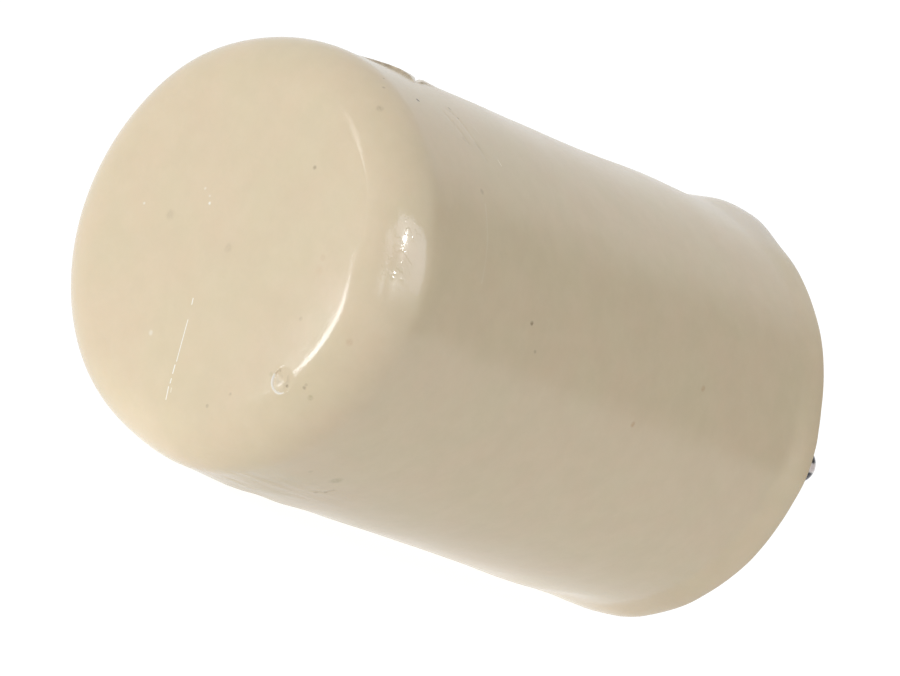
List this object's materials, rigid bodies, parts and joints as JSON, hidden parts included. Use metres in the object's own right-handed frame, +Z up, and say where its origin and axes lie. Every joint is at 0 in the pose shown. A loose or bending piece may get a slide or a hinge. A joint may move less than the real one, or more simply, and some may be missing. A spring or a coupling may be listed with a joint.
{
  "type": "rosin cake",
  "caption": "Cylindrical cast cake of rosin with a flat rubbing face, a broad rounded rim, and a metal core pin standing out of its poured end.",
  "frame": {"origin": "on the surface that the cake lies on, under the middle of its whole length, pin included", "axes": "+Y along the cake's axis, from the rubbing face to the tip of the pin; +Z up, with the cake lying on its side"},
  "size_m": [0.0322, 0.0742, 0.032],
  "materials": {
    "rosin": "cast, opaque cream, waxy gloss",
    "plated_steel": "bright nickel plate",
    "washer_steel": "plain steel"
  },
  "bodies": {
    "root": {"rosin_cake": "rosin", "core_pin": "plated_steel", "anchor_washer": "washer_steel"}
  },
  "joints": []
}
